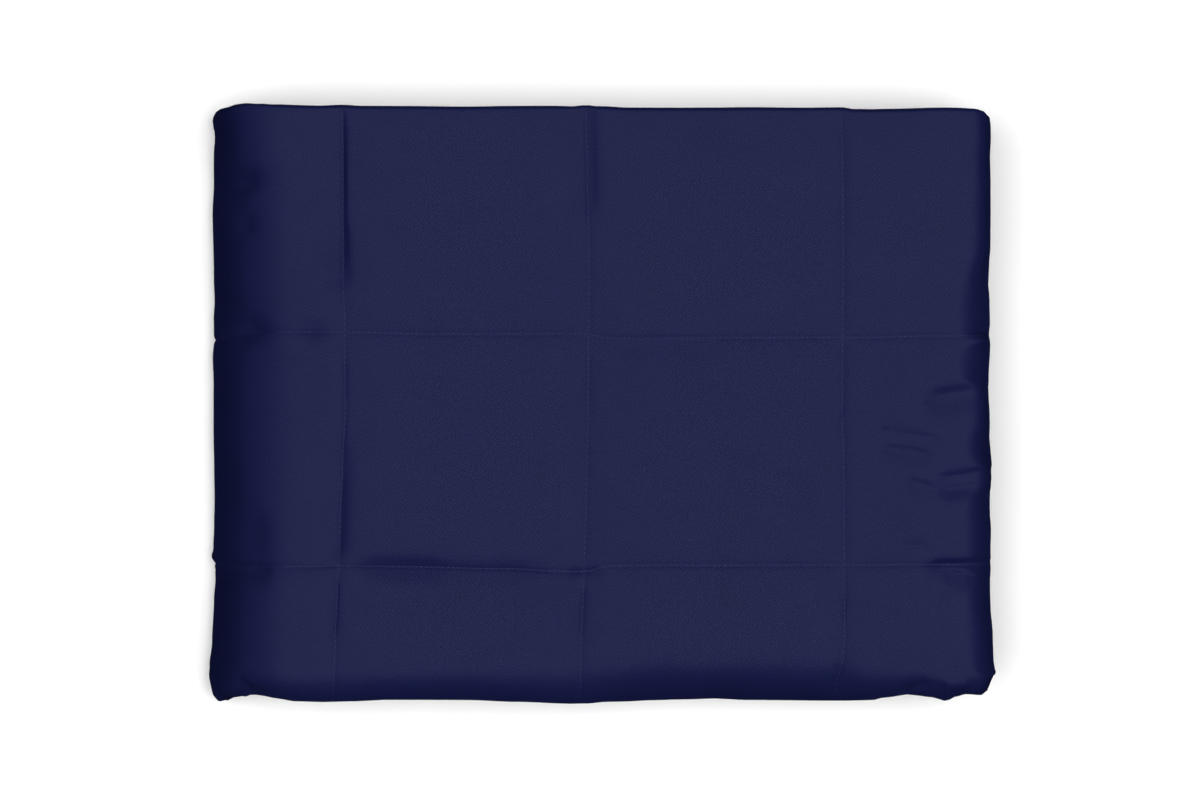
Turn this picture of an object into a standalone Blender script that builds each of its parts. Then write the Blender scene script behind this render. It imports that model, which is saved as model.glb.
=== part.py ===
"""A weighted blanket, quilted in squares and folded for storage.

The blanket is one closed solid. It starts flat, as front and back cloth that are drawn together along the
quilting seams. It is then folded back and forth into quarters across its width, and that strip of four
layers is folded in half along its length. Eight layers lie on each other: crisp folds at +Y, the front
hems at -Y, the round half fold at -X and the side hems at +X. The underside lies flat at z = 0.
"""

import math

import bmesh
import bpy
from mathutils import Vector

MM = 0.001

# The folded blanket
LENGTH = 494 * MM  # from the round fold at -X to the side hems at +X
WIDTH = 375 * MM  # from the front hems at -Y to the crisp folds at +Y
CENTRING = 2.5 * MM  # the uneven outline is moved this far to +X, so that the origin is under its middle
LAYER_PITCH = 9.2 * MM  # a layer and the air over it
LAYERS_ACROSS = 4  # the width is folded into quarters
STRIP_HEIGHT = LAYERS_ACROSS * LAYER_PITCH
INNER_GAP = 0.5 * MM  # half the air between the two halves of the strip
STACK_HEIGHT = 2 * (STRIP_HEIGHT + INNER_GAP)

# The quilt
CROWN = 8.6 * MM  # thickness in the middle of a pocket
SEAM = 6 * MM  # thickness where it is stitched through
HEM = 2.4 * MM  # thickness at the turned edge
CROWN_POWER = 8  # a higher power makes a flatter pocket with steeper sides

# Round folds
CRISP_RADIUS = LAYER_PITCH / 2
CRISP_REACH = CRISP_RADIUS + 3.8 * MM  # from a crisp fold's centre to the outline, at the front
PRESSED = 0.45  # the crisp folds at the back are pressed to this part of that
BACK_REACH = CRISP_REACH * PRESSED
BACK_CENTRE = WIDTH / 2 - BACK_REACH
HALF_RADIUS = INNER_GAP + STRIP_HEIGHT / 2  # of the strip's middle in the half fold
HALF_STRETCH = 1.4  # the half fold is this much longer than it is high
HALF_REACH = (INNER_GAP + STRIP_HEIGHT) * HALF_STRETCH

# Straight runs and turns, from one hem to the other: (length, radius), where a radius under zero turns
# to the right and None is straight
CRISP_TURN = math.pi * CRISP_RADIUS
CRISP_RUN = WIDTH - CRISP_REACH - BACK_REACH
HEM_RUN = WIDTH - BACK_REACH
ACROSS = (
    (HEM_RUN, None),
    (CRISP_TURN, -CRISP_RADIUS),
    (CRISP_RUN, None),
    (CRISP_TURN, CRISP_RADIUS),
    (CRISP_RUN, None),
    (CRISP_TURN, -CRISP_RADIUS),
    (HEM_RUN, None),
)
ALONG = (
    (LENGTH - HALF_REACH, None),
    (math.pi * HALF_RADIUS, -HALF_RADIUS),
    (LENGTH - HALF_REACH, None),
)
FLAT_WIDTH = sum(length for length, _ in ACROSS)
FLAT_LENGTH = sum(length for length, _ in ALONG)

# Pockets between the quilting seams. Across, from the upper front hem. Along, from the upper side hem
FRONT_POCKET = 85.4 * MM
POCKET_ACROSS = 145.5 * MM
POCKETS_ACROSS = 9
FIRST_POCKETS_ALONG = (96.8 * MM, 159.7 * MM, 153.6 * MM)
HALF_FOLD_POCKET = 113 * MM  # measured in the middle of the strip, which the half fold shortens
LOWER_POCKET_ALONG = 155 * MM

# How far each layer's edge lies outside the outline, from the floor up, in millimetres:
# (height of the layer, at the front, at the side, at the back)
LAYER_EDGES = (
    (4.5, -1.5, -1.5, -2.0),
    (14, -3.5, -0.5, -1.0),
    (23, -2.0, -2.5, -2.5),
    (32.5, -4.5, -1.0, -0.5),
    (42, -2.5, -2.0, -2.0),
    (51, -5.0, -1.5, -1.0),
    (60, -3.0, -2.5, -1.5),
    (69.5, 0.0, 0.0, 0.0),
)

# The uneven outline, in millimetres outside the nominal one: (place along the edge, distance)
LEFT_EDGE = (
    (-188, 3.0), (-180, 5.4), (-170, 4.3), (-150, 2.4), (-113, 0.6), (-98, 2.8), (-80, 1.2),
    (-40, 1.2), (0, 1.5), (42, 2.3), (65, 1.0), (120, 2.0), (165, 1.0), (178, 3.2), (188, 4.6),
)
RIGHT_EDGE = (
    (-188, -4.0), (-180, -2.0), (-172, -0.2), (-146, -1.1), (-119, -2.7), (-103, -1.7), (-86, -2.5),
    (-61, -3.5), (-45, -2.1), (-10, -3.5), (35, -2.8), (55, -2.4), (85, -3.6), (120, -2.9),
    (160, -3.4), (183, -2.5), (188, -4),
)
FRONT_EDGE = (
    (-247, 0.0), (-241, 4.6), (-232, 1.9), (-213, -3.0), (-193, -0.6), (-165, -0.3), (-110, -1.4),
    (-53, 0.0), (-19, 1.1), (10, 0.0), (72, -1.5), (150, -0.1), (193, -4.7), (217, -0.6), (225, -3.8),
    (240, -5.0), (247, -7.5),
)
BACK_EDGE = (
    (-247, 0.3), (-241, 2.4), (-225, 3.8), (-205, 1.6), (-163, 0.9), (-105, 0.0), (-15, 0.5),
    (40, -0.8), (150, -0.7), (160, -1.5), (215, -0.8), (241, -1.8), (247, -5.0),
)
EDGE_DEPTH = 40 * MM  # how far into the blanket an uneven edge is felt

# Towards each edge the top comes down, in millimetres: (place along the edge, how far inside the edge it
# starts, how far it has come down at the edge itself)
SIDE_FALL = (
    (-188, 16, 13), (-140, 22, 17), (-103, 29, 20), (-70, 23, 17), (62, 27, 20), (112, 21, 17),
    (188, 15, 11),
)
FRONT_FALL = (
    (-245, 18, 9), (-150, 27, 14), (-30, 31, 16), (30, 45, 27), (150, 44, 28), (190, 24, 14),
    (245, 18, 10),
)
FOLD_FALL = (
    (-188, 60, 18), (-120, 76, 21), (-50, 92, 23), (20, 94, 24), (60, 82, 23), (138, 78, 22),
    (188, 54, 17),
)
NOSE_FALL = (
    (-188, 23, 26), (-103, 30, 30), (-50, 25, 29), (42, 31, 31), (80, 25, 29), (134, 29, 29),
    (188, 19, 23),
)
NOSE_SAG = 9 * MM  # how far the middle layers of the half fold sink
NOSE_REACH = 60 * MM

# The blanket is cut into cells at these distances from a seam and from a hem
CUTS_ALONG = (8 * MM, 26 * MM)
CUTS_ACROSS = (9 * MM,)
HEM_CUTS = (6 * MM, 18 * MM, 38 * MM)
CRISP_CELLS = 4
HALF_CELLS = 9
CLOSEST_CUTS = 3.2 * MM


def smooth(part):
    """Rises from 0 to 1 as part does, level at both ends."""
    part = min(max(part, 0.0), 1.0)
    return part * part * (3 - 2 * part)


def read_table(rows, place, column=1):
    """The value at a place between a table's rows, in metres. The rows are in millimetres."""
    place /= MM
    if place <= rows[0][0]:
        return rows[0][column] * MM
    for low, high in zip(rows, rows[1:]):
        if place <= high[0]:
            part = smooth((place - low[0]) / (high[0] - low[0]))
            return (low[column] + part * (high[column] - low[column])) * MM
    return rows[-1][column] * MM


def walk(path, start, heading, distance, offset):
    """The point at a distance along runs and turns, moved by offset to the left of the way it heads."""
    x, y = start
    for index, (length, radius) in enumerate(path):
        step = distance if index == len(path) - 1 else min(distance, length)
        if radius is None:
            x += step * math.cos(heading)
            y += step * math.sin(heading)
        else:
            centre_x = x - radius * math.sin(heading)
            centre_y = y + radius * math.cos(heading)
            heading += step / radius
            x = centre_x + radius * math.sin(heading)
            y = centre_y - radius * math.cos(heading)
        distance -= step
        if distance <= 0:
            break
    return x - offset * math.sin(heading), y + offset * math.cos(heading)


def seams_across():
    """Where the seams cross the width, from the upper front hem."""
    return [FRONT_POCKET + number * POCKET_ACROSS for number in range(POCKETS_ACROSS + 1)]


def seams_along():
    """Where the seams cross the length, from the lower side hem to the upper one."""
    pockets = (*FIRST_POCKETS_ALONG, HALF_FOLD_POCKET, LOWER_POCKET_ALONG, LOWER_POCKET_ALONG)
    found, place = [], FLAT_LENGTH
    for pocket in pockets:
        place -= pocket
        found.append(place)
    return sorted(found)


def fullness(place, seams, size):
    """0 on a seam or hem and 1 in the middle of a pocket."""
    lines = [0.0, *seams, size]
    for low, high in zip(lines, lines[1:]):
        if place <= high:
            from_middle = (2 * place - low - high) / (high - low)
            return 1 - abs(from_middle) ** CROWN_POWER
    return 0.0


def thickness(along, across):
    """The quilt's thickness at a place on the flat cloth."""
    full = fullness(along, seams_along(), FLAT_LENGTH) * fullness(across, seams_across(), FLAT_WIDTH)
    at_hem = min(along, FLAT_LENGTH - along, across, FLAT_WIDTH - across)
    thin = HEM + (SEAM - HEM) * smooth(at_hem / HEM_CUTS[-1])
    return thin + (CROWN - thin) * full


def fall(rows, place, inside, power=3):
    """The part of the height that a table takes away at a distance inside an edge."""
    reach, down = read_table(rows, place), read_table(rows, place, 2)
    return down / STACK_HEIGHT * (1 - min(max(inside / reach, 0), 1)) ** power


def near(inside, reach=EDGE_DEPTH):
    """1 at an edge, falling to 0 at a distance inside it."""
    return 1 - smooth(inside / reach)


def folded(along, across, side):
    """Where a point of the flat cloth lies once folded. side is 1 on the front cloth and -1 on the back."""
    half_thickness = thickness(along, across) / 2
    start = (-WIDTH / 2, STRIP_HEIGHT - LAYER_PITCH / 2)
    y, height = walk(ACROSS, start, 0.0, across, side * half_thickness)
    if y > BACK_CENTRE:
        y = BACK_CENTRE + (y - BACK_CENTRE) * PRESSED
    _, middle_height = walk(ACROSS, start, 0.0, across, 0.0)
    start = (LENGTH / 2, STACK_HEIGHT / 2 - HALF_RADIUS)
    x, z = walk(ALONG, start, math.pi, along, height - STRIP_HEIGHT / 2)
    _, middle = walk(ALONG, start, math.pi, along, middle_height - STRIP_HEIGHT / 2)
    fold_centre = HALF_REACH - LENGTH / 2
    if x < fold_centre:
        x = fold_centre + (x - fold_centre) * HALF_STRETCH
    lowest = smooth((LAYER_PITCH - middle) / (LAYER_PITCH / 2))
    z -= lowest * (LAYER_PITCH / 2 - half_thickness)
    return settled(x, y, z)


def settled(x, y, z):
    """Gives a folded point the uneven outline, the lower hems and the flat underside."""
    from_left, from_right = x + LENGTH / 2, LENGTH / 2 - x
    from_front, from_back = y + WIDTH / 2, WIDTH / 2 - y
    moved_x = x + near(from_right) * (read_table(RIGHT_EDGE, y) + read_table(LAYER_EDGES, z, 2))
    moved_x -= near(from_left) * read_table(LEFT_EDGE, y)
    moved_y = y + near(from_back) * (read_table(BACK_EDGE, x) + read_table(LAYER_EDGES, z, 3))
    moved_y -= near(from_front) * (read_table(FRONT_EDGE, x) + read_table(LAYER_EDGES, z, 1))
    z *= (1 - fall(SIDE_FALL, y, from_right)) * (1 - fall(FRONT_FALL, x, from_front))
    part = z / STACK_HEIGHT
    z -= NOSE_SAG * near(from_left, NOSE_REACH) * 4 * part * (1 - part)
    z *= 1 - fall(FOLD_FALL, y, from_left) - fall(NOSE_FALL, y, from_left, 2)
    return Vector((moved_x + CENTRING, moved_y, max(z, 0.0)))


def stations(size, seams, cuts, turns):
    """The places where the flat cloth is cut into cells, from one hem to the other."""
    found = list(seams) + [seam + way * cut for seam in seams for cut in cuts for way in (-1, 1)]
    found += [*HEM_CUTS, *(size - cut for cut in HEM_CUTS)]
    fixed = []
    for first, last, cells in turns:
        found = [place for place in found if not first <= place <= last]
        fixed += [first + (last - first) * number / cells for number in range(cells + 1)]
    kept = sorted(fixed)
    for place in sorted(found, key=lambda place: place not in seams):
        if all(abs(place - other) > CLOSEST_CUTS for other in kept):
            kept.append(place)
    return sorted(place for place in kept if CLOSEST_CUTS < place < size - CLOSEST_CUTS)


def turns_of(path, cells):
    """(first, last, cells) of each turn in a path."""
    found, place = [], 0.0
    for length, radius in path:
        if radius is not None:
            found.append((place, place + length, cells))
        place += length
    return found


def flat_quilt():
    """The flat blanket, as a slab cut into cells: x is along, y is across and z tells front from back."""
    quilt = bmesh.new()
    bmesh.ops.create_grid(quilt, x_segments=1, y_segments=1, size=0.5)
    bmesh.ops.translate(quilt, verts=quilt.verts, vec=(0.5, 0.5, 0))
    bmesh.ops.scale(quilt, verts=quilt.verts, vec=(FLAT_LENGTH, FLAT_WIDTH, 1))
    for axis, places in (
        (Vector((1, 0, 0)), stations(FLAT_LENGTH, seams_along(), CUTS_ALONG, turns_of(ALONG, HALF_CELLS))),
        (Vector((0, 1, 0)), stations(FLAT_WIDTH, seams_across(), CUTS_ACROSS, turns_of(ACROSS, CRISP_CELLS))),
    ):
        for place in places:
            everything = [*quilt.verts, *quilt.edges, *quilt.faces]
            bmesh.ops.bisect_plane(quilt, geom=everything, plane_co=axis * place, plane_no=axis)
    front = bmesh.ops.extrude_face_region(quilt, geom=quilt.faces[:])["geom"]
    raised = [item for item in front if isinstance(item, bmesh.types.BMVert)]
    bmesh.ops.translate(quilt, verts=raised, vec=(0, 0, CROWN))
    return quilt


def cloth_material():
    """Navy cotton twill."""
    material = bpy.data.materials.new("navy_twill")
    material.use_nodes = True
    shader = material.node_tree.nodes["Principled BSDF"]
    shader.inputs["Base Color"].default_value = (0.014, 0.016, 0.06, 1)
    shader.inputs["Roughness"].default_value = 0.85
    shader.inputs["Metallic"].default_value = 0.0
    return material


def make_blanket(collection):
    """The folded blanket, as one object."""
    quilt = flat_quilt()
    for vertex in quilt.verts:
        side = 1 if vertex.co.z > CROWN / 2 else -1
        vertex.co = folded(vertex.co.x, vertex.co.y, side)
    bmesh.ops.recalc_face_normals(quilt, faces=quilt.faces[:])
    bmesh.ops.triangulate(quilt, faces=quilt.faces[:])
    mesh = bpy.data.meshes.new("blanket")
    quilt.to_mesh(mesh)
    quilt.free()
    mesh.shade_smooth()
    mesh.materials.append(cloth_material())
    blanket = bpy.data.objects.new("blanket", mesh)
    collection.objects.link(blanket)
    return blanket


def main():
    for old in list(bpy.data.objects):
        bpy.data.objects.remove(old)
    collection = bpy.data.collections.new("weighted_blanket")
    bpy.context.scene.collection.children.link(collection)
    blanket = make_blanket(collection)
    low = [min(corner[axis] for corner in blanket.bound_box) for axis in range(3)]
    high = [max(corner[axis] for corner in blanket.bound_box) for axis in range(3)]
    print("flat quilt", round(FLAT_LENGTH, 4), "by", round(FLAT_WIDTH, 4))
    print("folded box", [round(value, 4) for value in (*low, *high)])
    print("triangles", len(blanket.data.polygons))


main()
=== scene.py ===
# %% [markdown]
# # A weighted blanket, folded and lying flat
#
# The object is a quilt: two layers of navy cotton twill with a filling between them, sewn through in a grid
# of squares so that the filling stays where it is. It has been folded in quarters across its width, and that
# strip has been folded in half. This lesson makes it the way the real one is made. The cloth starts as a
# flat quilt, the seams draw it in, and folding it is a calculation that each of its points goes through.

import math

import bmesh
import bpy
import numpy as np
from mathutils import Matrix, Vector, noise


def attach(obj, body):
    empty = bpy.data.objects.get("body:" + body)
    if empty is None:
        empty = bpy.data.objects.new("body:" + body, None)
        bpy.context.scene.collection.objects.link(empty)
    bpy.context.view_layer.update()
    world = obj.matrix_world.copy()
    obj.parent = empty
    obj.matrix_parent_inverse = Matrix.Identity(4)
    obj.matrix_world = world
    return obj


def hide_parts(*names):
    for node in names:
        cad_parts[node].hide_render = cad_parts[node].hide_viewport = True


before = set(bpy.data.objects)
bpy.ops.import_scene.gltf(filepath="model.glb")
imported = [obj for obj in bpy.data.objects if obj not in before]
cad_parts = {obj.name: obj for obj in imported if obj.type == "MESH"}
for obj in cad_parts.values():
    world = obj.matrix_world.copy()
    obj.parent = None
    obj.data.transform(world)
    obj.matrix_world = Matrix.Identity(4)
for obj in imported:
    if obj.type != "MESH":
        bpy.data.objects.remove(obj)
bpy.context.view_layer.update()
MM = 0.001
print("nodes in the part:", len(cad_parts))

# %% [markdown]
# ## The sizes of the quilt and of its folds
#
# A folded blanket is ruled by very few sizes: the outline, the height of one layer, and the radius of each
# kind of fold. The crisp folds at the back turn one layer onto the next, and the weight above presses them
# to less than half of a round fold's reach. The half fold on the left turns four layers at once, so it is
# large and round, and it leans out further than it is high.

# %% Driving sizes
LENGTH, WIDTH = 494 * MM, 375 * MM
LAYER_PITCH = 9.2 * MM
LAYERS = 4
STRIP_HEIGHT = LAYERS * LAYER_PITCH
INNER_GAP = 0.5 * MM
STACK_HEIGHT = 2 * (STRIP_HEIGHT + INNER_GAP)
CROWN, SEAM, HEM = 8.6 * MM, 6.0 * MM, 2.4 * MM

CRISP_RADIUS = LAYER_PITCH / 2
TURNED_HALF = 3.8 * MM  # half of the quilt's thickness where it turns
CRISP_REACH = CRISP_RADIUS + TURNED_HALF
PRESSED = 0.45  # how far a crisp fold reaches out, as a part of a round one's reach
BACK_REACH = CRISP_REACH * PRESSED
HALF_RADIUS = INNER_GAP + STRIP_HEIGHT / 2
HALF_STRETCH = 1.4
HALF_REACH = (INNER_GAP + STRIP_HEIGHT) * HALF_STRETCH
HALF_CENTRE = HALF_REACH - LENGTH / 2
print("stack height in mm:", round(STACK_HEIGHT / MM, 1), "and half fold:", round(HALF_REACH / MM, 1))

# %% [markdown]
# ## Folding as a walk
#
# Think of an ant that walks over the flat cloth from one hem to the other. Where the cloth is folded, the
# ant's way is a straight run, a half circle, another run, and so on. So a fold is a list of lengths and
# radii, and the place of any point is found by walking to it. A radius under zero turns to the right. The
# same function serves both stages: across the width, and then along the strip of four layers. After each
# stage its folds are scaled: the crisp ones are pressed, and the half fold is stretched.

# %% Runs and turns across the width, then along the strip
CRISP_TURN = math.pi * CRISP_RADIUS
CRISP_RUN, HEM_RUN = WIDTH - CRISP_REACH - BACK_REACH, WIDTH - BACK_REACH
BACK_CENTRE = WIDTH / 2 - BACK_REACH
ACROSS = (
    (HEM_RUN, None),
    (CRISP_TURN, -CRISP_RADIUS),
    (CRISP_RUN, None),
    (CRISP_TURN, CRISP_RADIUS),
    (CRISP_RUN, None),
    (CRISP_TURN, -CRISP_RADIUS),
    (HEM_RUN, None),
)
HALF_TURN = math.pi * HALF_RADIUS
SIDE_RUN = LENGTH - HALF_REACH
ALONG = ((SIDE_RUN, None), (HALF_TURN, -HALF_RADIUS), (SIDE_RUN, None))
FLAT_WIDTH = sum(length for length, _ in ACROSS)
FLAT_LENGTH = sum(length for length, _ in ALONG)
print("flat quilt:", round(FLAT_LENGTH, 3), "by", round(FLAT_WIDTH, 3), "m")

# %% The walk
def walk(path, start, heading, distance, offset):
    """Places at a distance along runs and turns, moved by offset to the left of the way they head."""
    right, up = (np.full(distance.shape, value, float) for value in start)
    heading = np.full(distance.shape, heading, float)
    left = distance.astype(float)
    for number, (length, radius) in enumerate(path):
        step = left if number == len(path) - 1 else np.minimum(left, length)
        step = np.maximum(step, 0) if number else step
        if radius is None:
            right, up = right + step * np.cos(heading), up + step * np.sin(heading)
        else:
            right, up = right - radius * np.sin(heading), up + radius * np.cos(heading)
            heading = heading + step / radius
            right, up = right + radius * np.sin(heading), up - radius * np.cos(heading)
        left = left - step
    return right - offset * np.sin(heading), up + offset * np.cos(heading)


def fold(along, across, offset):
    """Folds points of the flat cloth: x, y and z, before the stack settles."""
    start = (-WIDTH / 2, STRIP_HEIGHT - LAYER_PITCH / 2)
    y, height = walk(ACROSS, start, 0.0, across, offset)
    y = np.where(y > BACK_CENTRE, BACK_CENTRE + (y - BACK_CENTRE) * PRESSED, y)
    start = (LENGTH / 2, STACK_HEIGHT / 2 - HALF_RADIUS)
    x, z = walk(ALONG, start, math.pi, along, height - STRIP_HEIGHT / 2)
    x = np.where(x < HALF_CENTRE, HALF_CENTRE + (x - HALF_CENTRE) * HALF_STRETCH, x)
    return x, y, z


corner = fold(*np.zeros((3, 1)))
print("the first corner folds to", [round(float(value[0]) / MM, 1) for value in corner], "mm")

# %% [markdown]
# ## Seams and pockets
#
# The quilting seams are straight lines on the flat cloth. Between them the filling makes each square a low
# pillow: flat for most of its width, and drawn in over the last centimetre before the stitches. A power
# curve has just that shape, and its power says how far the flat middle reaches.

# %% Pockets
FRONT_POCKET, POCKET_ACROSS, POCKETS_ACROSS = 85.4 * MM, 145.5 * MM, 9
POCKETS_ALONG = [pocket * MM for pocket in (96.8, 159.7, 153.6, 113, 155, 155)]
SEAMS_ACROSS = [FRONT_POCKET + number * POCKET_ACROSS for number in range(POCKETS_ACROSS + 1)]
SEAMS_ALONG = sorted(FLAT_LENGTH - place for place in np.cumsum(POCKETS_ALONG))
CROWN_POWER = 9
HEM_SLOPE = 24 * MM
HEM_ROUND = 1.1 * MM
HEM_BLUNT = 0.02  # keeps the very edge from being a knife's


def smooth(part):
    """Rises from 0 to 1 as part does, level at both ends."""
    part = np.clip(part, 0, 1)
    return part * part * (3 - 2 * part)


def fullness(place, seams, size):
    """0 on a seam or hem and 1 in the middle of a pocket."""
    lines = np.array([0, *seams, size])
    low = np.clip(np.searchsorted(lines, place, side="right") - 1, 0, len(lines) - 2)
    from_middle = (2 * place - lines[low] - lines[low + 1]) / (lines[low + 1] - lines[low])
    return 1 - np.clip(abs(from_middle), 0, 1) ** CROWN_POWER


def half_thickness(along, across):
    """Half of the quilt's thickness at places on the flat cloth."""
    full = fullness(along, SEAMS_ALONG, FLAT_LENGTH) * fullness(across, SEAMS_ACROSS, FLAT_WIDTH)
    to_hem = np.minimum(np.minimum(along, FLAT_LENGTH - along), np.minimum(across, FLAT_WIDTH - across))
    thin = HEM + (SEAM - HEM) * smooth(to_hem / HEM_SLOPE)
    full = full * smooth(to_hem / HEM_SLOPE) ** 0.5
    rounding = np.sqrt(np.clip(1 - (1 - np.clip(to_hem / HEM_ROUND, 0, 1)) ** 2, HEM_BLUNT, 1))
    return (thin + (CROWN - thin) * full) / 2 * rounding


print(len(SEAMS_ALONG), "seams one way and", len(SEAMS_ACROSS), "the other")

# %% [markdown]
# ## How the stack settles
#
# A folded quilt is never a neat box. Each edge of the outline wanders by a few millimetres, and the layers
# under the top one stop a little short of it. At the hems there is no filling, so the layers lie closer and
# the stack comes down. The half fold comes down furthest: in a long slope, then steeply to a low nose, and
# the layers inside it sag with it. Short tables hold this, a row for each place where the edge changes, and
# the values between the rows run smoothly. Distances are in millimetres, positive outwards.

# %% Tables of the uneven outline
LEFT_EDGE = (  # (across, out)
    (-188, 3), (-183, 5.4), (-177, 5.5), (-170, 4.3), (-152, 2.6), (-125, 1.3), (-113, 0.4),
    (-107, 1), (-102, 2.6), (-98, 3.8), (-92, 2.1), (-80, 1.3), (-61, 1.0), (-42, 1.3), (-20, 1.8),
    (15, 1.6), (32, 2.6), (42, 2.8), (52, 2), (65, 1.1), (80, 1.7), (120, 2.3), (140, 1.2),
    (160, 1.1), (170, 0.6), (175, 1.0), (178, 1.9), (182, 2.6), (185, 2.2), (188, 3),
)
RIGHT_EDGE = (  # (across, out)
    (-187, -4), (-183, -3), (-180, -2), (-177, -1), (-174, 0.8), (-169, -0.5), (-160, -0.7),
    (-146, -1), (-125, -2.7), (-113, -2.7), (-103, -1.9), (-92, -2.6), (-80, -2.3), (-61, -3.6),
    (-51, -2.0), (-39, -1.9), (-25, -3.1), (15, -3.6), (35, -2.7), (43, -3.6), (50, -2.7), (65, -3),
    (80, -4.3), (100, -2.9), (120, -2.8), (140, -2.9), (150, -3.4), (171, -2.8), (178, -2.9),
    (183, -3.4), (188, -5.5),
)
FRONT_EDGE = (  # (along, out)
    (-247, -1), (-242, 5), (-237, 4.3), (-232, 1.8), (-225, 0), (-219, -2.4), (-213, -3.4),
    (-205, -2.4), (-193, -0.5), (-175, 0), (-155, -0.4), (-140, -1.3), (-87, -1.1), (-53, 0.1),
    (-19, 1.3), (-10, 1.3), (4, 0.3), (17, 0.2), (30, -0.3), (50, -0.9), (72, -1.5), (90, -0.4),
    (150, -0.1), (170, -0.9), (178, -2.7), (193, -4.7), (208, -2.9), (213, -1.6), (217, -0.3),
    (220, -1.8), (223, -3.4), (230, -4.8), (233, -5.6), (238, -4.5), (242, -4.2), (247, -6.5),
)
BACK_EDGE = (  # (along, out)
    (-247, -0.3), (-243, 1.4), (-240, 1.9), (-235, 1.9), (-229, 2.7), (-223, 3.2), (-215, 1.9),
    (-205, 0.9), (-190, 0.2), (-178, -0.1), (-163, 0.4), (-150, -0.4), (-120, -0.5), (-90, -0.8),
    (-53, -0.3), (-19, -0.3), (-10, 0.6), (-1, -0.6), (17, -1.4), (50, -1.5), (72, -1.5),
    (90, -1.2), (125, -1.4), (150, -1.2), (158, -2.3), (170, -2.5), (178, -2.3), (215, -1.4),
    (228, -1.5), (238, -1.5), (243, -2.3), (247, -4.6),
)
outline = (LEFT_EDGE, RIGHT_EDGE, FRONT_EDGE, BACK_EDGE)
print("rows in the outline tables:", [len(table) for table in outline])

# %% The edges of the layers
LAYER_EDGES = (  # (height of the layer, out at the front, at the side, at the back)
    (4.5, -1.5, -1.5, -2.0), (14, -3.5, -0.5, -1.0), (23, -2.0, -2.5, -2.5),
    (32.5, -4.5, -1.0, -0.5), (42, -2.5, -2.0, -2.0), (51, -5.0, -1.5, -1.0),
    (60, -3.0, -2.5, -1.5), (69.5, 0.0, 0.0, 0.0),
)
EDGE_DEPTH = 40 * MM
print("layers:", len(LAYER_EDGES))

# %% How far inside each edge the top starts to come down, and how far it has come down at the edge
SIDE_FALL = (  # (across, inside, down)
    (-188, 17, 15), (-150, 22, 19), (-112, 23, 19), (-103, 27, 19), (-90, 26, 17), (-68, 25, 17),
    (-61, 21, 18), (-57, 20, 18), (-51, 13, 14), (-40, 13, 14), (-33, 21, 19), (-23, 23, 20),
    (-12, 15, 15), (7, 14, 15), (20, 33, 20), (32, 32, 20), (40, 14, 14), (46, 32, 20),
    (62, 33, 20), (76, 26, 18), (95, 15, 14), (185, 13, 12), (188, 12, 12),
)
FRONT_FALL = (  # (along, inside, down)
    (-245, 18, 9), (-225, 24, 12), (-200, 21, 11), (-150, 25, 13), (-90, 28, 15), (-30, 29, 15),
    (5, 34, 19), (30, 41, 25), (60, 38, 23), (90, 40, 26), (150, 38, 24), (168, 28, 17),
    (190, 22, 13), (245, 18, 10),
)
FOLD_FALL = (  # (across, inside, down)
    (-188, 60, 18), (-150, 70, 20), (-120, 76, 21), (-103, 88, 24), (-75, 94, 23), (-20, 100, 21),
    (20, 100, 22), (41, 84, 23), (60, 82, 23), (100, 80, 22), (138, 76, 21), (158, 52, 15),
    (188, 46, 13),
)
NOSE_FALL = (  # (across, inside, down)
    (-188, 23, 26), (-150, 24, 28), (-118, 25, 29), (-106, 31, 30), (-92, 30, 30), (-70, 27, 29),
    (-30, 26, 30), (0, 26, 30), (30, 27, 30), (42, 32, 31), (52, 27, 30), (80, 25, 29),
    (112, 26, 29), (134, 30, 29), (152, 23, 29), (188, 21, 28),
)
NOSE_SAG, NOSE_REACH = 9 * MM, 60 * MM
NOSE_POWER = 2
fallen = [max(row[2] for row in rows) for rows in (SIDE_FALL, FRONT_FALL, FOLD_FALL, NOSE_FALL)]
print("most that each table takes away, in mm:", fallen)

# %% Reading the tables
def read_table(rows, place, column=1):
    """The values at places between a table's rows, in metres."""
    places = np.array([row[0] for row in rows]) * MM
    values = np.array([row[column] for row in rows]) * MM
    low = np.clip(np.searchsorted(places, place) - 1, 0, len(places) - 2)
    part = smooth((place - places[low]) / (places[low + 1] - places[low]))
    return values[low] + part * (values[low + 1] - values[low])


def fall(rows, place, inside, power=3):
    """The part of the height that a table takes away at a distance inside an edge."""
    reach, down = read_table(rows, place), read_table(rows, place, 2)
    return down / STACK_HEIGHT * (1 - np.clip(inside / reach, 0, 1)) ** power


def near(inside, reach=EDGE_DEPTH):
    """1 at an edge, falling to 0 at a distance inside it."""
    return 1 - smooth(inside / reach)


print("out at the middle of the left edge, in mm:", np.round(read_table(LEFT_EDGE, np.zeros(1)) / MM, 1))

# %% [markdown]
# Nobody sews a perfectly straight seam, and folding pulls it about, so the seams that show wander too. Each
# has a table of how far it lies from its own straight line. The cloth on both sides moves with it, less and
# less, as far as the middle of the pocket.

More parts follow.
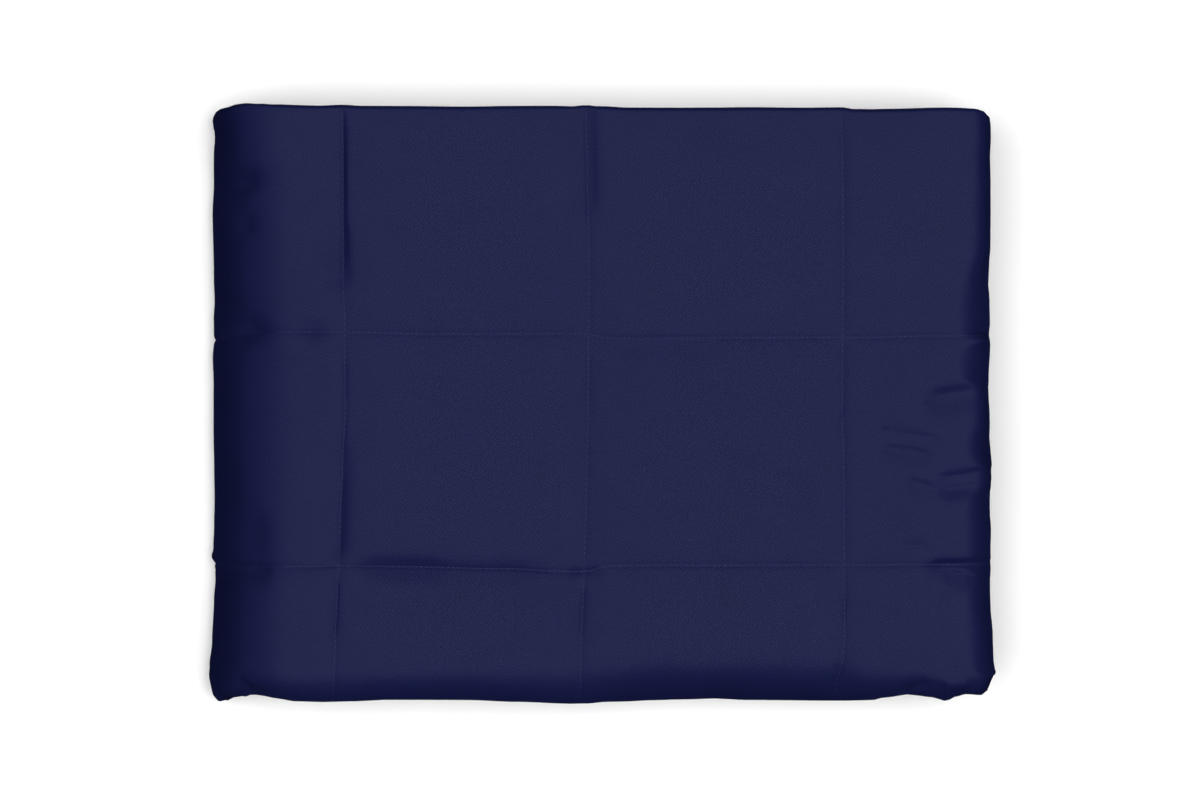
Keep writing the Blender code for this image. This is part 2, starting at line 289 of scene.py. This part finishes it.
# %% Paths of the seams
SEAM_PATHS_ALONG = (  # (place of the seam, reach to each side, ((across, moved along), ...))
    (-163.1, 75, (
        (-188, -5.1), (-150, -3.8), (-120, -2.4), (-100, -1.3), (-67, -0.4), (-45, 0.8), (0, 2.6),
        (50, 2.2), (77, 1), (188, 1),
    )),
    (-9.5, 75, (
        (-188, -4.4), (-150, -3.5), (-103, -1.8), (-60, -0.4), (0, 0.8), (80, 1.4), (115, 1),
        (140, 0.3), (188, -0.6),
    )),
    (150.2, 75, (
        (-188, -5), (-178, -3.6), (-158, 0.6), (-146, 1.4), (-110, 1.3), (-50, 1), (0, 0),
        (100, 0.6), (150, 0.2), (188, -0.9),
    )),
)
SEAM_PATHS_ACROSS = (  # (place of the seam, reach to each side, ((along, moved across), ...))
    (-102.1, 66, (
        (-245, 0), (-218, 0), (-160, 0.5), (-120, 0), (-60, -1.2), (-22, -2.8), (-10, -3), (5, 0.5),
        (30, 1), (170, 1.2), (190, 1.4), (245, 1),
    )),
    (43.4, 66, (
        (-245, -3), (-216, 1.4), (-160, 1.2), (-107, 0), (-60, 0), (-13, 0.2), (4, -2.5),
        (170, -2.1), (195, -1.3), (245, -1),
    )),
)
print("seams that wander:", len(SEAM_PATHS_ALONG) + len(SEAM_PATHS_ACROSS))

# %% Wandering, then settling
def wander(x, y):
    """Moves points with the seams that wander."""
    moved_x, moved_y = x.copy(), y.copy()
    for place, reach, path in SEAM_PATHS_ALONG:
        moved_x += near(abs(x - place * MM), reach * MM) * read_table(path, y)
    for place, reach, path in SEAM_PATHS_ACROSS:
        moved_y += near(abs(y - place * MM), reach * MM) * read_table(path, x)
    return moved_x, moved_y


def settle(x, y, z):
    """Gives folded points their wandering seams, uneven outline and lower hems."""
    x, y = wander(x, y)
    from_left, from_right = x + LENGTH / 2, LENGTH / 2 - x
    from_front, from_back = y + WIDTH / 2, WIDTH / 2 - y
    moved_x = x + near(from_right) * (read_table(RIGHT_EDGE, y) + read_table(LAYER_EDGES, z, 2))
    moved_x -= near(from_left) * read_table(LEFT_EDGE, y)
    moved_y = y + near(from_back) * (read_table(BACK_EDGE, x) + read_table(LAYER_EDGES, z, 3))
    moved_y -= near(from_front) * (read_table(FRONT_EDGE, x) + read_table(LAYER_EDGES, z, 1))
    z = z * (1 - fall(SIDE_FALL, y, from_right)) * (1 - fall(FRONT_FALL, x, from_front))
    part = z / STACK_HEIGHT
    z = z - NOSE_SAG * near(from_left, NOSE_REACH) * 4 * part * (1 - part)
    z = z * (1 - fall(FOLD_FALL, y, from_left) - fall(NOSE_FALL, y, from_left, NOSE_POWER))
    return moved_x, moved_y, z


settled = settle(*np.array([[LENGTH / 2], [0], [STACK_HEIGHT]]))
print("the middle of the top's right edge settles at", np.round(np.ravel(settled) / MM, 1), "mm")

# %% [markdown]
# ## Creases, placed one by one
#
# Where the cloth has been pushed about it keeps soft troughs and ridges. Each is a row in a table: where it
# starts and ends, how far it bows, how wide and deep it is, and how much it leans. A crease that leans is
# steep on one side and gentle on the other, like a pillow that bulges over its own seam. A depth under zero
# makes a ridge. Pinches are oval hollows, for places where a pocket is short of filling. They could come
# out of a cloth simulation, but that chooses its own folds, and here each one has a place.

# %% Tables of creases and pinches
CREASES = (  # (start x, start y, end x, end y, bow, width, depth, lean), in mm, but lean from -1 to 1
    (-162.2, 192, -161.6, 72, 0, 11.0, 2.3, 0.8),
    (-162.2, 164, -162.0, 118, 0, 6.0, 0.6, 0.7),
    (-161.4, 116, -160.2, 66, 0, 10.0, 1.8, 0.6),
    (-160.2, 40, -162.0, -40, 0, 4.0, 0.5, 0.5),
    (-162.4, -18, -164.8, -110, 0, 12.0, 2.3, 0.5),
    (-163.4, -40, -164.8, -104, 0, 7.0, 1.0, 0.6),
    (-165.6, -104, -167.6, -150, 0, 3.0, 0.8, 0.4),
    (-8.8, 200, -6.8, 110, 0, 10.0, 2.2, 0.55),
    (-7.8, 36, -8.4, -14, 0, 4.6, 0.4, 0.2),
    (-11.4, -110, -12.4, -150, 0, 3.0, 0.5, 0.3),
    (-161, -102.0, -22, -104.2, -1, 8.0, 1.7, 0.3),
    (-160, -101.4, -92, -102.2, 0, 7.0, 1.5, 0.2),
    (-24, -107.2, 2, -106.6, 2, 3.0, 1.2, 0.0),
    (-4, 37.5, 78, 36.0, 0, 6.0, 1.3, 0.5),
    (197, 1.0, 260, 9.0, 2, 8.0, 3.6, 0.4),
    (166, -16.5, 216, -23.5, 1, 4.5, 1.5, 0.5),
    (172, -27.5, 209, -33.0, 1, 5.0, 2.2, 0.5),
    (205, -47.5, 256, -38.5, -1, 6.0, 3.0, 0.5),
    (188, -48.0, 211, -55.0, 1, 4.5, 1.8, 0.4),
    (204, -55.0, 256, -49.8, 0, 4.5, 2.4, 0.4),
    (120, -6, 174, -8, 0, 4.5, 0.6, 0.0),
    (184, -88, 205, -88.6, 0, 3.0, 1.1, 0.2),
    (200, -100.5, 258, -99.0, 0, 8.0, 3.2, 0.7),
    (212, -104.5, 237, -109.0, 0, 5.0, 1.5, 0.7),
    (216, -112, 186, -125, 3, 8.0, 1.0, 0.0),
    (132, -129, 194, -138, 3, 6.5, 0.9, 0.0),
    (64, -32, 138, -62, 0, 12.0, 1.5, 0.0),
    (148.4, -162, 145.2, -178, 0, 3.2, 0.8, 0.0),
    (188, -182, 206, -174, 1, 3.4, 2.0, 0.0),
    (209, -170, 231, -178, -2, 4.0, -1.8, 0.0),
    (-233, -172, -212, -183, -2, 5.0, 1.8, 0.0),
    (-243, -103.4, -206, -105, 0, 4.4, 1.6, 0.0),
)
PINCHES = (  # (x, y, reach along, reach across, depth), in millimetres
    (-181, 45, 8, 7, 1.8),
    (-60, 10, 50, 30, -0.4),
    (-224, 46, 12, 9, 4.5),
    (-225, 139, 9, 7, 3.5),
    (-226, 112, 8, 7, 3.0),
    (-221, -84, 11, 14, 3.5),
    (-221, -109, 12, 9, 2.2),
)
print(len(CREASES), "creases and", len(PINCHES), "pinches")

# %% How far the cloth is pushed in
FADE = 0.25  # the part of a crease's length in which it starts, and in which it ends


def pinched(x, y):
    """How far the pinches push the cloth in at places on the top, in metres."""
    pushed = np.zeros(x.shape)
    for centre_x, centre_y, reach_x, reach_y, depth in PINCHES:
        away = ((x / MM - centre_x) / reach_x) ** 2 + ((y / MM - centre_y) / reach_y) ** 2
        pushed += depth * MM * np.exp(-away)
    return pushed


def creased(x, y):
    """How far creases and pinches together push the cloth in there."""
    pushed = pinched(x, y)
    for start_x, start_y, end_x, end_y, bow, width, depth, lean in CREASES:
        start, run = np.array([start_x, start_y]) * MM, np.array([end_x - start_x, end_y - start_y]) * MM
        length = np.hypot(*run)
        run /= length
        part = ((x - start[0]) * run[0] + (y - start[1]) * run[1]) / length
        aside = (y - start[1]) * run[0] - (x - start[0]) * run[1]
        aside -= 4 * bow * MM * np.clip(part, 0, 1) * (1 - np.clip(part, 0, 1))
        reach = width * MM * (1 - lean * np.sign(aside))
        fade = smooth(part / FADE) * smooth((1 - part) / FADE)
        pushed += depth * MM * fade * np.exp(-((aside / reach) ** 2))
    return pushed


print("the deepest crease has", max(row[6] for row in CREASES), "mm")

# %% [markdown]
# ## One function for the whole surface
#
# Everything above comes together here. A point of the flat cloth is given by its place along and across,
# and by its side: 1 for the front cloth, -1 for the back. The point is folded and settled once to see where
# it comes to lie. If that is on the outside of the top, the creases there push it in or out, and so does a
# slow swell, because filling is never quite even. Where a crease is deeper than the quilt is thick, the
# whole layer bends down with it. The lowest layer is laid flat on whatever it rests on.

# %% The surface
SWELL, SWELL_SIZE = 0.35 * MM, 45 * MM
CENTRING = 2.5 * MM
STITCH_GROOVE, STITCH_REACH = 0.45 * MM, 1.3 * MM
LOWEST_MIDDLE = LAYER_PITCH / 2
THINNEST = 0.9 * MM


def to_seam(place, seams):
    """How far places lie from the nearest seam."""
    return np.min([abs(place - seam) for seam in seams], axis=0)


def swell(x, y, z):
    """A slow unevenness from -1 to 1."""
    return np.array([noise.noise(Vector(point) / SWELL_SIZE) for point in zip(x, y, z)])


def surface(along, across, side):
    """Where points of the flat cloth lie in the finished stack: an array with a row for each."""
    half = half_thickness(along, across)
    x, y, z = settle(*fold(along, across, side * half))
    on_top = (across < HEM_RUN + CRISP_TURN / 2) & (along > SIDE_RUN)
    pushed = np.where(on_top, creased(x, y), 0)
    out = np.where(on_top & (side > 0), SWELL * swell(x, y, z) - pushed, 0)
    groove = np.exp(-((to_seam(along, SEAMS_ALONG) / STITCH_REACH) ** 2))
    groove = np.maximum(groove, np.exp(-((to_seam(across, SEAMS_ACROSS) / STITCH_REACH) ** 2)))
    out -= STITCH_GROOVE * groove * smooth(half / HEM)
    out = np.maximum(out, THINNEST - 2 * half)
    bent = np.maximum(pushed + THINNEST - 2 * half, 0)
    x, y, z = fold(along, across, side * (half + out) - bent)
    _, _, middle = fold(along, across, 0 * half)
    lowest = smooth((LAYER_PITCH - middle) / (LAYER_PITCH - LOWEST_MIDDLE))
    z -= lowest * (LOWEST_MIDDLE - half - out)
    x, y, z = settle(x, y, z)
    return np.stack([x + CENTRING, y, np.maximum(z, 0)], axis=1)


print("the middle of the top is", np.round(surface(*np.array([[0.75], [0.2], [1]]))[0] / MM, 1), "mm")

# %% [markdown]
# ## The flat quilt
#
# The cloth starts as one square face. Cutting it with planes gives a grid whose lines can be put where they
# matter: on the seams, close together beside them, and round the folds. Extruding it gives the back cloth
# and the edge between them. The part that is seen most, the front cloth of the top layer, is then divided
# again, and once more wherever a crease pushes it in. Its UV map is the flat cloth itself in metres, so a
# woven pattern will follow every fold.

# %% Where the cloth is cut into cells
POCKET_CELLS = (5.5 * MM, 14 * MM)
LARGEST_CELL = 18 * MM
SMALLEST_CELL = 1.6 * MM
HEM_CELLS = (0.12 * MM, 0.45 * MM, 1.1 * MM, 4 * MM, 9 * MM, 16 * MM, 24 * MM)
HALF_TURN_CELLS, CRISP_TURN_CELLS = 14, 6


def turns_of(path):
    """(first, last) of each turn in a path."""
    ends = np.cumsum([0, *(length for length, _ in path)])
    return [(ends[i], ends[i + 1]) for i, (_, radius) in enumerate(path) if radius is not None]


def stations(size, seams, path, turn_cells):
    """Places to cut the flat cloth, from one hem to the other."""
    turns = turns_of(path)
    kept = [first + (last - first) * n / turn_cells for first, last in turns for n in range(turn_cells + 1)]
    wanted = list(seams) + [seam + way * cell for seam in seams for cell in POCKET_CELLS for way in (-1, 1)]
    for place in wanted:
        free = all(not first <= place <= last for first, last in turns)
        if free and all(abs(place - other) > SMALLEST_CELL for other in kept):
            kept.append(place)
    for cell in HEM_CELLS:
        kept += [cell, size - cell]
    kept = sorted({*kept, 0.0, size})
    found = []
    for low, high in zip(kept, kept[1:]):
        cells = max(1, math.ceil((high - low) / LARGEST_CELL))
        found += [low + (high - low) * n / cells for n in range(1, cells + 1)]
    return [place for place in found if place < size - SMALLEST_CELL / 20]


cuts_along = stations(FLAT_LENGTH, SEAMS_ALONG, ALONG, HALF_TURN_CELLS)
cuts_across = stations(FLAT_WIDTH, SEAMS_ACROSS, ACROSS, CRISP_TURN_CELLS)
print("cells:", len(cuts_along) + 1, "by", len(cuts_across) + 1)

# %% Cut and extrude
FLAT_LIFT = 1.0  # tells the front cloth from the back cloth while both are flat
cloth = bmesh.new()
bmesh.ops.create_grid(cloth, x_segments=1, y_segments=1, size=0.5)
bmesh.ops.translate(cloth, verts=cloth.verts, vec=(0.5, 0.5, 0))
bmesh.ops.scale(cloth, verts=cloth.verts, vec=(FLAT_LENGTH, FLAT_WIDTH, 1))
for way, cuts in ((Vector((1, 0, 0)), cuts_along), (Vector((0, 1, 0)), cuts_across)):
    for cut in cuts:
        everything = [*cloth.verts, *cloth.edges, *cloth.faces]
        bmesh.ops.bisect_plane(cloth, geom=everything, plane_co=way * cut, plane_no=way)
lifted = bmesh.ops.extrude_face_region(cloth, geom=cloth.faces[:])["geom"]
front_verts = [item for item in lifted if isinstance(item, bmesh.types.BMVert)]
bmesh.ops.translate(cloth, verts=front_verts, vec=(0, 0, FLAT_LIFT))
print("cut and extruded:", len(cloth.faces), "faces")

# %% Divide the part that is seen most, and again where it is pushed in
FINE_CUTS, CREASE_CUTS = 3, 2
CREASE_TOLD = 0.35 * MM  # a face that is pushed in further than this is cut again
TOP_END = HEM_RUN + CRISP_TURN


def seen_most(face):
    """Whether a face is on the front cloth of the top layer, or of the folds beside it."""
    middle = face.calc_center_median()
    return middle.z > FLAT_LIFT / 2 and middle.x > SIDE_RUN and middle.y < TOP_END


fine_edges = {edge for face in cloth.faces if seen_most(face) for edge in face.edges}
bmesh.ops.subdivide_edges(cloth, edges=list(fine_edges), cuts=FINE_CUTS, use_grid_fill=True)
print("fine top:", len(cloth.faces), "faces")

top_faces = [face for face in cloth.faces if seen_most(face)]
middles = np.array([face.calc_center_median() for face in top_faces])
x, y, _ = surface(middles[:, 0], middles[:, 1], np.ones(len(middles))).T
bent = abs(creased(x - CENTRING, y)) > CREASE_TOLD
crease_edges = {edge for face, is_bent in zip(top_faces, bent) if is_bent for edge in face.edges}
bmesh.ops.subdivide_edges(cloth, edges=list(crease_edges), cuts=CREASE_CUTS, use_grid_fill=True)
bmesh.ops.recalc_face_normals(cloth, faces=cloth.faces[:])
print("flat quilt:", len(cloth.verts), "points and", len(cloth.faces), "faces")

# %% [markdown]
# The half fold needs one correction before the points leave the flat. In the walk it is as long as the
# middle of the strip, but the outer cloth goes round a larger bend. So the outer cloth is measured along a
# line down its middle, and the UV map runs with that length, or the weave would look drawn out.

# %% UV map, then fold
LINE_POINTS = 1200
line = np.linspace(0, FLAT_LENGTH, LINE_POINTS)
outside = surface(line, np.full(line.shape, HEM_RUN / 2), np.ones(line.shape))
measured = np.cumsum([0, *np.linalg.norm(np.diff(outside, axis=0), axis=1)])
uv_layer = cloth.loops.layers.uv.new("cloth")
for face in cloth.faces:
    for loop in face.loops:
        loop[uv_layer].uv = (float(np.interp(loop.vert.co.x, line, measured)), loop.vert.co.y)

flat = np.array([vert.co for vert in cloth.verts])
places = surface(flat[:, 0], flat[:, 1], np.where(flat[:, 2] > FLAT_LIFT / 2, 1, -1))
for vert, place in zip(cloth.verts, places):
    vert.co = place
bmesh.ops.recalc_face_normals(cloth, faces=cloth.faces[:])
print("folded box in mm:", np.round(places.min(0) / MM, 1), np.round(places.max(0) / MM, 1))

# %% The blanket's object
blanket_mesh = bpy.data.meshes.new("blanket_cloth")
cloth.to_mesh(blanket_mesh)
cloth.free()
blanket_mesh.shade_smooth()
blanket = bpy.data.objects.new("blanket_cloth", blanket_mesh)
bpy.context.scene.collection.objects.link(blanket)
blanket_mesh.calc_loop_triangles()
print("blanket:", len(blanket_mesh.loop_triangles), "triangles")

# %% [markdown]
# ## Stitches
#
# The seams are sewn with a lockstitch, which shows as a row of short dashes with small gaps. Each dash is
# a grain of rice: a small sphere, stretched along the seam and sunk halfway into the cloth. The surface
# function gives its place, its direction and the way up. Only seams on the outside of the stack get them.

# %% The size of a stitch, and meshes to collect stitches in
STITCH_PITCH, STITCH_LENGTH = 3.4 * MM, 2.5 * MM
STITCH_WIDTH, STITCH_HEIGHT = 0.42 * MM, 0.36 * MM
GRAIN_SIDES, GRAIN_RINGS = 6, 4
BATCH_FACES = 30 * GRAIN_SIDES * GRAIN_RINGS
batch, stitches = bmesh.new(), bmesh.new()
carrier = bpy.data.meshes.new("stitch_carrier")


def empty_batch():
    """Moves the grains made so far to the whole, because an operator slows down as its mesh grows."""
    batch.to_mesh(carrier)
    stitches.from_mesh(carrier)
    batch.clear()


print("faces in a full batch:", BATCH_FACES)

# %% Sewing one row
PROBE = 0.4 * MM
PULL, PULL_CHANGE, PULL_SIZE = 0.8, 0.4, 7 * MM


def sew(starts, ends):
    """Sews a straight row on the front of the flat cloth, between two places given as (along, across)."""
    starts, ends = np.array(starts), np.array(ends)
    length = np.hypot(*(ends - starts))
    run = (ends - starts) / length
    count = int(length / STITCH_PITCH)
    middles = starts + run * (np.arange(count)[:, None] + 0.5) * STITCH_PITCH
    sides = np.ones(count)
    aside = np.array([-run[1], run[0]])
    before, after, left, right = (
        surface(*(middles + step).T, sides)
        for step in (-run * STITCH_LENGTH / 2, run * STITCH_LENGTH / 2, aside * PROBE, -aside * PROBE)
    )
    for tail, head, one, other in zip(before, after, left, right):
        forward, sideways = Vector(head - tail), Vector(one - other).normalized()
        up = forward.cross(sideways).normalized()
        sideways = up.cross(forward).normalized()
        pull = PULL + PULL_CHANGE * noise.noise(Vector(tail) / PULL_SIZE)
        size = (forward.length / 2, STITCH_WIDTH / 2 * pull, STITCH_HEIGHT / 2 * pull)
        turn = Matrix((forward.normalized(), sideways, up)).transposed().to_4x4()
        middle = Vector(tail + head) / 2
        middle.z = max(middle.z, STITCH_HEIGHT)
        lying = Matrix.Diagonal((*size, 1)) @ Matrix.Rotation(math.pi / 2, 4, "Y")
        bmesh.ops.create_uvsphere(
            batch,
            u_segments=GRAIN_SIDES,
            v_segments=GRAIN_RINGS,
            radius=1,
            matrix=Matrix.Translation(middle) @ turn @ lying,
        )
        if len(batch.faces) > BATCH_FACES:
            empty_batch()
    empty_batch()
    return count


print("stitches in a row as long as a pocket:", int(POCKET_ACROSS / STITCH_PITCH))

# %% Sew the seams that show
SEAM_MARGIN = 3 * MM
sewn = 0
for seam in SEAMS_ALONG:
    sewn += sew((seam, SEAM_MARGIN), (seam, TOP_END))
for seam in (place for place in SEAMS_ACROSS if place < TOP_END):
    sewn += sew((SEAM_MARGIN, seam), (FLAT_LENGTH - SEAM_MARGIN, seam))
stitching_mesh = bpy.data.meshes.new("quilting_stitches")
stitches.to_mesh(stitching_mesh)
stitches.free()
batch.free()
bpy.data.meshes.remove(carrier)
stitching_mesh.shade_smooth()
stitching = bpy.data.objects.new("quilting_stitches", stitching_mesh)
bpy.context.scene.collection.objects.link(stitching)
print("stitches:", sewn)

# %% [markdown]
# ## A small helper for materials
#
# Shader maths is easier to read as sums than as rows of nodes. This class wraps a socket, and its operators
# add the Math nodes that work the sum out.

# %% Sockets that can be added up
class Wire:
    """A value inside a material."""

    def __init__(self, finish, socket):
        self.finish, self.socket = finish, socket

    def math(self, operation, *others):
        """Adds a Math node to this value."""
        return self.finish.node("Math", {"operation": operation}, self, *others)

    def __add__(self, other):
        return self.math("ADD", other)

    def __sub__(self, other):
        return self.math("SUBTRACT", other)

    def __rsub__(self, other):
        return self.finish.node("Math", {"operation": "SUBTRACT"}, other, self)

    def __mul__(self, other):
        return self.math("MULTIPLY", other)

    __radd__, __rmul__ = __add__, __mul__

    def sine(self):
        return self.math("SINE")


print("a wire can be added, subtracted, multiplied and turned into a sine wave")

# %% A material and its nodes
class Finish:
    """A material, its shader and a way to add nodes to it."""

    def __init__(self, name):
        self.material = bpy.data.materials.new(name)
        self.material.use_nodes = True
        self.tree = self.material.node_tree
        self.shader = self.tree.nodes["Principled BSDF"]

    def plug(self, socket, value):
        """Links a wire to a socket, or sets the socket to a value."""
        if isinstance(value, Wire):
            self.tree.links.new(value.socket, socket)
        else:
            socket.default_value = value

    def node(self, kind, settings, *values, output=0, **named):
        """Adds a node: first its settings, then its sockets in their order or by their names."""
        made = self.tree.nodes.new("ShaderNode" + kind)
        stops = settings.pop("stops", None)
        for name, value in settings.items():
            setattr(made, name, value)
        if stops:
            for element, (position, colour) in zip(made.color_ramp.elements, stops):
                element.position, element.color = position, colour
        for socket, value in zip(made.inputs, values):
            self.plug(socket, value)
        for name, value in named.items():
            self.plug(made.inputs[name.replace("_", " ")], value)
        return Wire(self, made.outputs[output])

    def shade(self, **named):
        """Sets the shader's own sockets, with _ for a space in their names."""
        for name, value in named.items():
            self.plug(self.shader.inputs[name.replace("_", " ")], value)


print("materials can be made")

# %% [markdown]
# ## Navy cotton twill
#
# Twill is woven so that each thread passes over two or three others, one step further along in each row.
# That makes fine diagonal ribs, here a little over a millimetre apart and rising to the right. The ribs are
# a sine wave across the slant, made uneven by noise, because yarn is never quite even. They shade the
# colour and lift the surface. A slower cloud of noise keeps large areas from looking flat.

# %% The twill
RIB_PITCH, RIB_SLANT, RIB_HEIGHT = 1.26 * MM, math.radians(29), 0.13 * MM
FLOAT_LENGTH = 0.8 * MM
YARN_SCALE, CLOUD_SCALE = 900.0, 38.0
NAVY_SHADED, NAVY_LIT = (0.0026, 0.0037, 0.0235, 1), (0.0092, 0.0126, 0.071, 1)
twill = Finish("navy_twill")
flat_place = twill.node("UVMap", {"uv_map": "cloth"})
along_cloth = twill.node("SeparateXYZ", {}, flat_place)
across_cloth = twill.node("SeparateXYZ", {}, flat_place, output=1)
yarn = twill.node("TexNoise", {"noise_dimensions": "2D"}, flat_place, Scale=YARN_SCALE, Detail=2.0)
cloud = twill.node("TexNoise", {"noise_dimensions": "2D"}, flat_place, Scale=CLOUD_SCALE, Detail=3.0)
slant = across_cloth * math.cos(RIB_SLANT) - along_cloth * math.sin(RIB_SLANT)
rib = (slant * (2 * math.pi / RIB_PITCH) + yarn * 1.2).sine() * 0.5 + 0.5
along_rib = across_cloth * math.sin(RIB_SLANT) + along_cloth * math.cos(RIB_SLANT)
float_wave = (along_rib * (2 * math.pi / FLOAT_LENGTH) + yarn * 2.0).sine() * 0.5 + 0.5
weave = rib * 0.75 + float_wave * rib * 0.25
shade = weave * 0.55 + yarn * 0.45
shade = shade * 0.92 + cloud * 0.08
colour = twill.node("ValToRGB", {"stops": ((0.25, NAVY_SHADED), (0.75, NAVY_LIT))}, shade)
bump = twill.node("Bump", {}, Strength=1.0, Distance=RIB_HEIGHT, Height=weave + yarn * 0.3)
rough = 0.46 + (1 - weave) * 0.1
twill.shade(Base_Color=colour, Normal=bump, Roughness=rough, Specular_IOR_Level=0.09)
blanket_mesh.materials.append(twill.material)
print("twill ribs are", round(RIB_PITCH / MM, 2), "mm apart")

# %% [markdown]
# ## Quilting thread
#
# The thread is the same navy, but smoother and a shade lighter than the cloth, which is why the seams show
# as pale dotted lines. A very fine noise stands for its fibres.

# %% The thread
FIBRE_SCALE = 2500.0
THREAD_SHADED, THREAD_LIT = (0.014, 0.017, 0.07, 1), (0.028, 0.032, 0.102, 1)
thread = Finish("navy_thread")
place = thread.node("TexCoord", {}, output=3)
fibre = thread.node("TexNoise", {}, place, Scale=FIBRE_SCALE, Detail=2.0)
colour = thread.node("ValToRGB", {"stops": ((0.3, THREAD_SHADED), (0.7, THREAD_LIT))}, fibre)
thread.shade(Base_Color=colour, Roughness=0.5 + fibre * 0.2, Specular_IOR_Level=0.2)
stitching_mesh.materials.append(thread.material)
print("thread made")

# %% [markdown]
# ## Putting the pieces on the part's body
#
# The blanket stands for the imported solid, and the stitches lie on it. Both ride on the part's one body.

# %% Bodies
for piece in (blanket, stitching):
    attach(piece, "root")
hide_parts("blanket")
print("pieces ride on the root body")

# %% [markdown]
# ## The studio
#
# The blanket lies on a white floor inside a white dome. Two soft lamps hang high on the right and on the
# left, so that level cloth is bright and a slope is darker, whichever way it faces. A third, very wide lamp
# between them and a weak sky soften the shadows. Cloth is matt even where it is seen edge on, but the
# shader's gloss would mirror a bright floor there. So the floor, the dome, the third lamp and the sky keep
# out of reflections.

# %% Floor and dome
FLOOR_SIZE = 12.0
WHITE = (1, 1, 1, 1)


def stage_piece(name, made, finish):
    """Makes an object from a bmesh and keeps its light off the blanket."""
    mesh = bpy.data.meshes.new(name)
    made.to_mesh(mesh)
    made.free()
    mesh.materials.append(finish.material)
    piece = bpy.data.objects.new(name, mesh)
    bpy.context.scene.collection.objects.link(piece)
    piece.visible_diffuse = False
    piece.visible_glossy = False
    return piece


paper = Finish("white_paper")
paper.shade(Base_Color=(0.82, 0.82, 0.82, 1), Roughness=0.9, Specular_IOR_Level=0.1)
floor_made = bmesh.new()
bmesh.ops.create_grid(floor_made, x_segments=1, y_segments=1, size=FLOOR_SIZE)
stage_piece("floor", floor_made, paper)

glow = Finish("white_glow")
glow.shade(Base_Color=(0, 0, 0, 1), Specular_IOR_Level=0.0, Emission_Color=WHITE, Emission_Strength=1.0)
dome_made = bmesh.new()
bmesh.ops.create_uvsphere(dome_made, u_segments=32, v_segments=16, radius=1.2 * FLOOR_SIZE)
dome = stage_piece("dome", dome_made, glow)
dome.visible_shadow = False
print("stage: floor and dome")

# %% Sky and lamps
world = bpy.data.worlds.new("studio")
world.use_nodes = True
world.node_tree.nodes["Background"].inputs["Color"].default_value = WHITE
world.node_tree.nodes["Background"].inputs["Strength"].default_value = 0.15
world.cycles_visibility.glossy = False
bpy.context.scene.world = world

LEAN_BACK = math.radians(2)
LAMPS = (  # (name, strength, spread and lean to the right in degrees, whether it shows in the gloss)
    ("right_softbox", 2.15, 40, 22, True),
    ("left_softbox", 1.5, 40, -22, True),
    ("overhead_silk", 0.8, 110, 0, False),
)
for name, strength, spread, lean, in_gloss in LAMPS:
    lamp_data = bpy.data.lights.new(name, "SUN")
    lamp_data.energy = strength
    lamp_data.angle = math.radians(spread)
    lamp = bpy.data.objects.new(name, lamp_data)
    lamp.rotation_euler = (LEAN_BACK, math.radians(lean), 0)
    lamp.visible_glossy = in_gloss
    bpy.context.scene.collection.objects.link(lamp)
print("studio ready")

# %% Camera, looking straight down
VIEW_WIDTH = 756 * MM
VIEW_HEIGHT = 50 * MM  # the height above the floor at which the view is that wide
LENS, SENSOR = 135.0, 36.0
VIEW_CENTRE = (CENTRING - 1.3 * MM, 2.2 * MM)
camera_data = bpy.data.cameras.new("camera")
camera_data.lens, camera_data.sensor_width = LENS, SENSOR
camera = bpy.data.objects.new("camera", camera_data)
camera.location = (*VIEW_CENTRE, VIEW_HEIGHT + VIEW_WIDTH * LENS / SENSOR)
bpy.context.scene.collection.objects.link(camera)
bpy.context.scene.camera = camera
bpy.context.scene.view_settings.view_transform = "Standard"
print("camera height:", round(camera.location.z, 3))
